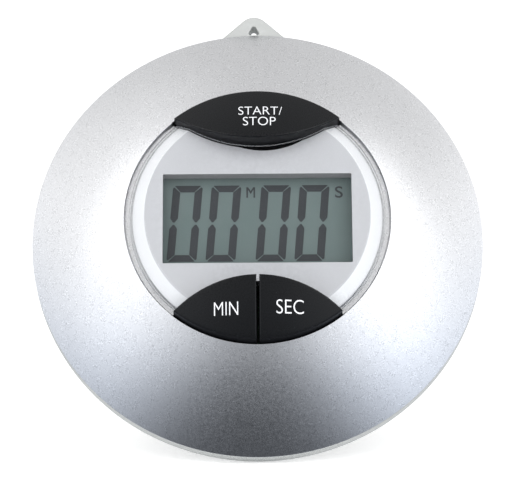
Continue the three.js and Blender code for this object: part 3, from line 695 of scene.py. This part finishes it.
def digit(left):
    """A zero: six segments, the upright ones pointed where the middle segment would meet them."""
    low, high, stroke = DIGIT["low"], DIGIT["high"], DIGIT["stroke"]
    width = DIGIT["width"]
    middle = (low + high) / 2
    point = 0.85
    rest = 0.24
    m = MITRE
    made = bmesh.new()

    def segment(corners):
        placed = [(left + x + (y - low) * math.tan(DIGIT["slant"]), y) for x, y in corners]
        outline = rounded([(x, y, 0.08) for x, y in placed], 3)
        bottom = [made.verts.new((x, y, FILM_HIGH.z + INK[0])) for x, y in outline]
        top = [made.verts.new((x, y, FILM_HIGH.z + INK[1])) for x, y in outline]
        made.faces.new(bottom)
        made.faces.new(top)
        for i in range(len(outline)):
            made.faces.new([bottom[i - 1], bottom[i], top[i], top[i - 1]])

    for start, end in ((low, middle - rest), (high, middle + rest)):
        toward = math.copysign(1, end - start)
        inner = start + toward * (DIGIT["bar"] + m)
        shoulder = end - toward * point
        upright = [
            (0, start + toward * (m + 0.5)),
            (0.25, start + toward * (m + 0.25)),
            (stroke, inner),
            (stroke, shoulder),
            (stroke * 0.6, end),
            (stroke * 0.4, end),
            (0, shoulder),
        ]
        segment(upright)
        segment([(width - x, y) for x, y in upright])
        segment([
            (0.25 + m, start),
            (width - 0.25 - m, start),
            (width - stroke - m, start + toward * DIGIT["bar"]),
            (stroke + m, start + toward * DIGIT["bar"]),
        ])
    bmesh.ops.recalc_face_normals(made, faces=made.faces)
    return made


def lettering(text, low, high, height_at, thick=0.03, bold=0.0):
    """Printed letters that fill a box of the face, on a surface given by its height."""
    curve = bpy.data.curves.new("letters", "FONT")
    curve.body = text
    curve.extrude = 0.5
    curve.offset = bold
    curve.resolution_u = 6
    holder = bpy.data.objects.new("letters", curve)
    bpy.context.scene.collection.objects.link(holder)
    bpy.context.view_layer.update()
    flat = bpy.data.meshes.new_from_object(holder.evaluated_get(bpy.context.evaluated_depsgraph_get()))
    made = bmesh.new()
    made.from_mesh(flat)
    bpy.data.objects.remove(holder)
    bpy.data.meshes.remove(flat)
    bmesh.ops.remove_doubles(made, verts=made.verts, dist=1e-5)
    xs = [v.co.x for v in made.verts]
    ys = [v.co.y for v in made.verts]
    for vertex in made.verts:
        x = low[0] + (vertex.co.x - min(xs)) / (max(xs) - min(xs)) * (high[0] - low[0])
        y = low[1] + (vertex.co.y - min(ys)) / (max(ys) - min(ys)) * (high[1] - low[1])
        vertex.co = (x, y, height_at(x, y) + (thick if vertex.co.z > 0 else thick / 3))
    bmesh.ops.recalc_face_normals(made, faces=made.faces)
    return made


def minutes_sign():
    """A narrow capital M, upright strokes at its sides and a notch in the middle."""
    (left, low), (right, high), stroke = (-2.14, 4.44), (-0.42, 6.65), 0.32
    middle, notch = (left + right) / 2, low + 0.35 * (high - low)
    half = [(left, low), (left, high), (left + 1.15 * stroke, high), (middle, notch + 2 * stroke)]
    inner = [(middle, notch), (left + stroke, high - 1.6 * stroke), (left + stroke, low)]
    mirrored = [(left + right - x, y) for x, y in half[2::-1]]
    mirrored += [(left + right - x, y) for x, y in inner[:0:-1]]
    return prism(half + mirrored + inner, FILM_HIGH.z + INK[0], FILM_HIGH.z + INK[1])


def seconds_sign():
    low, high = (15.22, 4.32), (16.75, 6.74)
    return lettering("S", low, high, lambda x, y: FILM_HIGH.z, INK[1], 0.01)


for number, left in enumerate(DIGIT_LEFT, 1):
    add_piece(f"digit_{number}", digit(left), SEGMENT)
add_piece("minutes_sign", minutes_sign(), SEGMENT)
add_piece("seconds_sign", seconds_sign(), SEGMENT)
for name, text, low, high, body in (
    ("start_legend", "START/", (-3.61, 19.60), (4.96, 21.65), "start_stop_key"),
    ("stop_legend", "STOP", (-2.71, 16.96), (3.69, 19.03), "start_stop_key"),
    ("minutes_legend", "MIN", (-8.42, -21.64), (-3.78, -19.25), "minutes_key"),
    ("seconds_legend", "SEC", (3.53, -21.44), (8.78, -18.90), "seconds_key"),
):
    add_piece(name, lettering(text, low, high, key_top, bold=-0.01), PRINT, body)

# ---- Back cover, door, stand and fasteners ----

TAB_X = -0.5
TAB_CORNERS = ((-6.9, 43.6, 0.3), (6.9, 43.6, 0.3), (0, 45.98, 3.2))  # each x, y and radius
EYE_CORNERS = ((-0.7, 45.5, 0.4), (0.7, 45.5, 0.4), (0, 46.52, 0.55))
RECESS = {"half": 18.0, "top": 22.7, "bottom": -39.0, "depth": 3.3, "wall": 1.2}
HINGE_POCKET = {"low": 17.5, "depth": 4.4}
HINGE = TO_FACE @ Vector(JOINTS["stand_fold"]["pos_m"])
WELL = {"rim": 7.9, "throat": 6.9, "lugs": 7.6, "inside": 6.2, "outside": 8.8}  # radii
DOOR = {"radius": 7.6, "thick": 1.4, "skirt": 6.6, "inside": 6.1, "lug": 7.3}
LUG = {"low": 3.3, "high": 4.2, "half": 0.24, "notch": 0.3}  # half angles in radians
LUG_NOTCHES = (math.radians(135), math.radians(315))  # where the freed door's lugs pass
MAGNET_RADIUS = 5
TAB_EDGE = 0.4  # radius of the tab's soft edge


def node_centre(node):
    low, high = face_box(node)
    return ((low.x + high.x) / 2, (low.y + high.y) / 2)


SCREWS_AT = [node_centre(f"case_screw_{i}") for i in range(1, 5)]
MAGNETS_AT = [node_centre("magnet_upper"), node_centre("magnet_lower")]
CELL_AT = node_centre("battery_door")
BUZZER_AT = node_centre("buzzer_disc")


def belt(circles, steps=24):
    """The outline of a belt drawn tight round (x, y, radius) circles, in anticlockwise order."""
    normals = []
    for (x, y, r), (next_x, next_y, next_r) in zip(circles, circles[1:] + circles[:1]):
        along = math.atan2(next_y - y, next_x - x)
        normals.append(along - math.pi / 2 + math.asin((r - next_r) / math.hypot(next_x - x, next_y - y)))
    points = []
    for i, (x, y, r) in enumerate(circles):
        sweep = (normals[i] - normals[i - 1]) % math.tau
        points += arc(x, y, r, normals[i - 1], normals[i - 1] + sweep, steps)
    return [(TAB_X + x, y) for x, y in points]


def hang_tab(high):
    """The tab with soft edges, and the eye that is cut through it."""
    tab = prism(belt(TAB_CORNERS), 0, high - TAB_EDGE)
    for i in range(1, 5):
        turn = math.pi / 8 * i
        inset = TAB_EDGE * (1 - math.cos(turn))
        shrunk = tuple((x, y, max(0.05, r - inset)) for x, y, r in TAB_CORNERS)
        top = high - TAB_EDGE * (1 - math.sin(turn))
        tab = unite(tab, prism(belt(shrunk), high - TAB_EDGE - 0.1, top))
    return tab, prism(belt(EYE_CORNERS), -1, high + 1)


def recess_outline(half, top, bottom):
    """Straight top, sides that close in a little, rounded foot."""
    foot = half - 1.8
    corner = 4.5
    right = [(foot - corner, bottom)]
    for i in range(1, 13):
        t = i / 12
        x = foot - corner * (1 - t) ** 2 + 0.25 * t * t
        y = bottom + corner * t * t
        right.append((x, y))
    return right + [(half, top), (-half, top)] + [(-x, y) for x, y in reversed(right)]


def stand_recess(wall, below):
    half, top, bottom, depth = RECESS["half"], RECESS["top"], RECESS["bottom"], RECESS["depth"]
    leg = prism(recess_outline(half + wall, top + wall, bottom - wall), -below, depth + wall)
    pocket = block(
        (-half - wall + 0.01, half + wall - 0.01),
        (HINGE_POCKET["low"] - wall, top + wall - 0.01),
        (-below + 0.01, HINGE_POCKET["depth"] + wall),
    )
    return unite(leg, pocket)


def rod(radius, length, edge=0.0, steps=FINE):
    """A rod along x, its ends rounded."""
    made = disc(radius, -length / 2, length / 2, edge=edge, steps=steps)
    bmesh.ops.transform(made, matrix=Matrix.Rotation(math.pi / 2, 4, "Y"), verts=made.verts)
    return made


def moved(made, x=0.0, y=0.0, z=0.0):
    bmesh.ops.translate(made, vec=(x, y, z), verts=made.verts)
    return made


def well_sector(outer, inner, turn, half, low, high):
    """Part of a ring about the battery well's axis, between two heights."""
    outline = arc(*CELL_AT, outer, turn - half, turn + half, 8)
    return prism(outline + arc(*CELL_AT, inner, turn + half, turn - half, 8), low, high)


def back_cover():
    top = RIM_Z - 0.06
    radius = COVER_RADIUS
    body = lathe(rounded([
        (0, 0, 0),
        (radius, 0, COVER_EDGE),
        (radius, top, 0.15),
        (radius - 1.5, top, 0),
        (radius - 1.5, COVER_FLOOR, 0.4),
        (0, COVER_FLOOR, 0),
    ]))
    tab, eye = hang_tab(top)
    inside = lathe([(0, 1), (radius - 1, 1)] + dome(WALL + 0.3, 41.5, 0.01, 24) + [(0, 22)])
    tub = combine(stand_recess(RECESS["wall"], -0.5), inside, "INTERSECT")
    body = unite(body, tab, tub, disc(WELL["outside"], 0.4, 8, CELL_AT))
    for at in MAGNETS_AT:
        body = unite(body, disc(6.3, 0.4, 3.8, at))
    for at in SCREWS_AT:
        body = unite(body, disc(3.2, 0.4, RIM_Z - 0.3, at))
    body = cut(body, eye, stand_recess(0, 1), moved(rod(1.1, 39.8), 0, HINGE.y, HINGE.z))
    for at in MAGNETS_AT:
        body = cut(body, disc(MAGNET_RADIUS + 0.3, -1, 2.6, at))
    for at in SCREWS_AT:
        body = cut(body, disc(2.6, -1, 1.9, at), disc(1.3, -1, 5, at))
    for dx in (-3.6, -1.8, 0, 1.8, 3.6):
        slot = rectangle(0.45, 3.2 - abs(dx) / 2, 0.4, (BUZZER_AT[0] + dx, BUZZER_AT[1]))
        body = cut(body, prism(slot, -1, COVER_FLOOR + 0.5))
    for step, low, high in (("rim", -1, 2), ("throat", 1, 3.2), ("lugs", 3, 4.6), ("inside", 4, 9)):
        body = cut(body, disc(WELL[step], low, high, CELL_AT))
    for turn in LUG_NOTCHES:
        body = cut(body, well_sector(WELL["lugs"], 5, turn, LUG["notch"], 1, 4))
    scoop = lathe(arc(0, -7.6, 9, -math.pi / 2, math.pi / 2, 48), 96, (0, RECESS["bottom"] + 1))
    return cut(body, scoop)


def battery_door():
    low, high = DOOR_LOW.z, DOOR_LOW.z + DOOR["thick"]
    door = disc(DOOR["radius"], low, high, CELL_AT, 0.3, 96)
    slot = rectangle(4.5, 0.8, 0.75, CELL_AT)
    door = cut(door, prism(slot, -1, 1.1))
    for turn in (0, math.pi):
        for outer, foot in ((DOOR["skirt"], high - 0.2), (DOOR["lug"], LUG["low"])):
            lug = well_sector(outer, DOOR["inside"], turn, LUG["half"], foot, LUG["high"])
            door = unite(door, lug)
    arrow = [(-0.7, 5.0), (0.7, 5.0), (0, 6.3)]
    mark = [(CELL_AT[0] + x, CELL_AT[1] + y) for x, y in arrow]
    return cut(door, prism(mark, -1, low + 0.2))


STAND_OPEN = math.radians(JOINTS["stand_fold"]["range_deg"][1])
LEG = FACE @ Matrix.Translation((0, HINGE.y, HINGE.z)) @ Matrix.Rotation(STAND_OPEN, 4, "X")
STAND = {"half_top": 17.5, "half_foot": 15.5, "thick": 2.2, "heel": 2.0}


def stand():
    """The leg, drawn folded flat with the pin's axis as its origin, its foot cut to lie on the floor."""
    to_leg = LEG.inverted()
    points = [to_leg @ v.co for v in frame["nodes"]["stand"].data.vertices]
    half = STAND["thick"] / 2
    ends = [min(p.y for p in points if abs(p.z - z) < 0.01) for z in (half, -half)]
    foot = min(ends) - 1
    half_top, half_foot, heel = STAND["half_top"], STAND["half_foot"], STAND["heel"]
    plan = prism(
        rounded([
            (-half_top, heel, 0.4),
            (-half_foot, foot, 3.5),
            (half_foot, foot, 3.5),
            (half_top, heel, 0.4),
        ], 10),
        -half,
        half,
    )
    side = [(heel + 2, -half - 1), (heel + 2, half + 1)]
    slope = (ends[0] - ends[1]) / (2 * half)
    side += [(ends[0] + slope, half + 1), (ends[1] - slope, -half - 1)]
    wedge = prism(side, -half_top - 1, half_top + 1)
    turn = Matrix(((0, 0, 1, 0), (1, 0, 0, 0), (0, 1, 0, 0), (0, 0, 0, 1)))
    bmesh.ops.transform(wedge, matrix=turn, verts=wedge.verts)
    leg = combine(plan, wedge, "INTERSECT")
    leg = unite(leg, rod(1.6, 2 * half_top, 0.2))
    panel = rounded([(-13, -6, 1.5), (-11.6, -49, 2.5), (11.6, -49, 2.5), (13, -6, 1.5)], 8)
    grips = [prism(rectangle(7, 0.35, 0.3, (0, -50.8 - 1.5 * i)), -2, -half + 0.35) for i in range(3)]
    return cut(leg, rod(1.1, 2 * half_top + 2), prism(panel, -2, -half + 0.5), *grips)


def screw(at, head, shank, low, high, tip):
    profile = rounded([
        (0, low, 0),
        (head, low, 0.45),
        (head, high, 0.1),
        (shank, high, 0.1),
        (shank, tip - 0.6, 0.1),
        (0, tip, 0),
    ])
    made = lathe(profile, FINE, at)
    arm = head * 0.6
    for half_x, half_y in ((arm, 0.22), (0.22, arm)):
        made = cut(made, prism(rectangle(half_x, half_y, 0.15, at), low - 1, low + 0.7))
    return made


add_piece("fine_back_cover", back_cover(), COVER, replaces=["back_cover"])
add_piece("fine_battery_door", battery_door(), COVER, "door", ["battery_door"])
add_piece("fine_stand", stand(), COVER, "stand_leg", ["stand"], LEG, soften=0.15)
for name, at in zip(("magnet_upper", "magnet_lower"), MAGNETS_AT):
    low, high = face_box(name)
    magnet = disc(MAGNET_RADIUS, low.z, high.z, at, 0.25, 96)
    add_piece(f"fine_{name}", magnet, NICKEL, replaces=[name])
for number, at in enumerate(SCREWS_AT, 1):
    node = f"case_screw_{number}"
    low, high = face_box(node)
    add_piece(f"fine_{node}", screw(at, 2.2, 1, low.z, low.z + 1.3, high.z), STEEL, replaces=[node])
pin_low, pin_high = face_box("stand_pin")
pin = moved(rod(0.8, pin_high.x - pin_low.x, 0.15), 0, HINGE.y, HINGE.z)
add_piece("fine_stand_pin", pin, STEEL, replaces=["stand_pin"])

# ---- Carried-over CAD nodes inside the case ----

BRUSHED = (1, 1, 8)
INSIDE = {
    "lcd_polarizer": FILM,
    "lcd_glass": plastic("display_glass", (0.25, 0.31, 0.30), 0.08, 4.0, 0.002, 0.04, 1.05),
    "lcd_reflector": metal("reflector_foil", (0.6, 0.62, 0.6), 0.35, BRUSHED),
    "lcd_frame": plastic("frame_plastic", (0.03, 0.03, 0.033), 0.6, 0.2, 0.01, 0.06, 1.6),
    "circuit_board": plastic("board_laminate", (0.02, 0.17, 0.06), 0.38, 0.6, 0.02, 0.12, 1.3),
    "controller_chip": plastic("black_epoxy", (0.01, 0.01, 0.012), 0.25, 0.9, 0.03, 0.1, 1.5),
    "timing_crystal": metal("tinned_can", (0.68, 0.68, 0.69), 0.25, BRUSHED),
    "buzzer_disc": metal("brass_sheet", (0.62, 0.43, 0.14), 0.3, BRUSHED),
    "buzzer_ceramic": plastic("buzzer_ceramic", (0.76, 0.72, 0.62), 0.6, 0.15, 0.01, 0.06, 1.05),
    "buzzer_lead_1": plastic("red_wire", (0.4, 0.02, 0.015), 0.45, 0.2, 0.01, 0.08, 1.3),
    "buzzer_lead_2": plastic("black_wire", (0.015, 0.015, 0.017), 0.45, 0.2, 0.01, 0.08, 1.8),
    "battery_cell": metal("cell_can", (0.66, 0.66, 0.66), 0.24, BRUSHED),
}
RUBBER = plastic("grey_rubber", (0.28, 0.28, 0.29), 0.8, 0.18, 0.02, 0.1, 1.2)
SILICONE = plastic("white_silicone", (0.74, 0.75, 0.75), 0.6, 0.3, 0.01, 0.04, 1.05)
CERAMIC = plastic("capacitor_ceramic", (0.55, 0.42, 0.28), 0.5, 0.1, 0.006, 0.08, 1.2)
SPRING = metal("contact_spring", (0.66, 0.66, 0.64), 0.3, BRUSHED)
INSIDE |= dict.fromkeys(["zebra_strip_upper", "zebra_strip_lower"], RUBBER)
INSIDE |= dict.fromkeys(["chip_capacitor_1", "chip_capacitor_2"], CERAMIC)
INSIDE |= dict.fromkeys(["battery_contact_top", "battery_contact_side"], SPRING)
INSIDE |= dict.fromkeys([f"board_screw_{i}" for i in range(1, 5)], STEEL)
for node, material in INSIDE.items():
    mesh = frame["nodes"][node].data
    mesh.materials.clear()
    mesh.materials.append(material)


def silicone_dome(key):
    """The springy dome under a key, carried over from the CAD node and riding on the case."""
    node = f"key_dome_{key}"
    made = bmesh.new()
    made.from_mesh(frame["nodes"][node].data)
    bmesh.ops.transform(made, matrix=TO_FACE, verts=made.verts)
    piece = add_piece(f"soft_{node}", made, SILICONE, replaces=[node])
    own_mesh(piece)


for key in ("start_stop", "minutes", "seconds"):
    silicone_dome(key)

# ---- Floor, light and camera ----


def floor():
    made = bmesh.new()
    bmesh.ops.create_grid(made, x_segments=2, y_segments=2, size=6)
    mesh = bpy.data.meshes.new("floor")
    made.to_mesh(mesh)
    made.free()
    plane = bpy.data.objects.new("floor", mesh)
    bpy.context.scene.collection.objects.link(plane)
    paint = Paint("floor_paper").set(Roughness=0.9, Base_Color=(0.9, 0.9, 0.9, 1))
    paint.set(Emission_Color=(1, 1, 1, 1), Emission_Strength=0.35, Specular_IOR_Level=0.1)
    mesh.materials.append(paint.material)
    plane.visible_glossy = False


def softbox(name, direction, distance, size, power):
    """A square area light, aimed at the timer from a direction."""
    light = bpy.data.lights.new(name, "AREA")
    light.shape = "RECTANGLE"
    light.size, light.size_y = size
    light.energy = power
    holder = bpy.data.objects.new(name, light)
    target = FACE @ Vector((0, 0, RIM_Z))
    holder.location = target + Vector(direction).normalized() * distance
    holder.rotation_euler = Vector(direction).to_track_quat("Z", "Y").to_euler()
    holder.visible_camera = False
    bpy.context.scene.collection.objects.link(holder)


def studio_world():
    """Bright at both sides, dimmer overhead, dark in front and below, where the lower dome looks.

    The coefficients were fitted to the brightness wanted on the shell, and hold for the main view.
    """
    world = bpy.data.worlds.new("studio")
    bpy.context.scene.world = world
    world.use_nodes = True
    nodes, links = world.node_tree.nodes, world.node_tree.links
    background = nodes["Background"]
    direction = nodes.new("ShaderNodeSeparateXYZ")
    links.new(nodes.new("ShaderNodeTexCoord").outputs["Generated"], direction.inputs["Vector"])

    def math_node(operation, *values):
        node = nodes.new("ShaderNodeMath")
        node.operation = operation
        for socket, value in zip(node.inputs, values):
            if isinstance(value, (int, float)):
                socket.default_value = value
            else:
                links.new(value, socket)
        return node.outputs["Value"]

    def smooth(value, low, high, start, end):
        node = nodes.new("ShaderNodeMapRange")
        node.interpolation_type = "SMOOTHSTEP"
        for socket, number in (("From Min", start), ("From Max", end), ("To Min", low), ("To Max", high)):
            node.inputs[socket].default_value = number
        links.new(value, node.inputs["Value"])
        return node.outputs["Result"]

    def combined(*terms):
        """A sum of values, each times a number."""
        total = 0
        for value, factor in terms:
            total = math_node("ADD", math_node("MULTIPLY", value, factor), total)
        return total

    x, y, z = (direction.outputs[axis] for axis in "XYZ")
    across = math_node("ABSOLUTE", x)
    glow = smooth(z, 0.068, 0.30, -0.26, 0.065)
    behind = smooth(y, 0, 0.40, -0.61, 0.30)
    window = smooth(combined((x, -0.62), (y, 0.12), (z, 0.775)), 0, 0.22, 0.80, 1)
    sides = smooth(combined((across, 1), (x, 0.10), (z, 0.63)), 0, 3.39, -0.045, 1.52)
    for value, high, low, start, end in (
        (z, 1, 0.18, 0.06, 0.72),
        (across, 1, 0.47, 0.825, 1),
        (y, 1, 0.4, -1.2, 0.44),
    ):
        sides = math_node("MULTIPLY", sides, smooth(value, high, low, start, end))
    links.new(combined((glow, 1), (behind, 1), (window, 1), (sides, 1)), background.inputs["Strength"])
    tint = nodes.new("ShaderNodeMix")
    tint.data_type = "RGBA"
    links.new(smooth(z, 0.0, 1.0, -0.4, 0.5), tint.inputs["Factor"])
    colours = [i for i in tint.inputs if i.type == "RGBA"]
    colours[0].default_value = (0.88, 0.955, 1.08, 1)
    colours[1].default_value = (1, 1, 1, 1)
    links.new(next(o for o in tint.outputs if o.type == "RGBA"), background.inputs["Color"])


VIEW_TILT = math.radians(20.9)  # of the line of sight from the face's normal, towards its foot
VIEW_ROLL = math.radians(0.37)
VIEW_DISTANCE = 600
VIEW_AIM = (0.28, -0.16)  # of the picture's middle from the rim's centre


def camera():
    data = bpy.data.cameras.new("camera")
    data.lens = 209.5
    data.clip_start = 0.01
    holder = bpy.data.objects.new("camera", data)
    bpy.context.scene.collection.objects.link(holder)
    toward = OUT * math.cos(VIEW_TILT) - UP * math.sin(VIEW_TILT)
    above = UP * math.cos(VIEW_TILT) + OUT * math.sin(VIEW_TILT)
    right = RIGHT * math.cos(VIEW_ROLL) - above * math.sin(VIEW_ROLL)
    up = RIGHT * math.sin(VIEW_ROLL) + above * math.cos(VIEW_ROLL)
    place = FACE @ Vector((0, 0, RIM_Z))
    place += (toward * VIEW_DISTANCE + right * VIEW_AIM[0] + up * VIEW_AIM[1]) * MM
    holder.matrix_world = Matrix.Translation(place) @ Matrix((right, up, toward)).transposed().to_4x4()
    bpy.context.scene.camera = holder


floor()
studio_world()
softbox("left_softbox", (-0.55, -0.5, 0.7), 0.5, (0.35, 0.35), 0.8)
softbox("right_softbox", (0.55, -0.5, 0.7), 0.5, (0.35, 0.35), 0.8)
camera()
bpy.context.scene.view_settings.view_transform = "Standard"
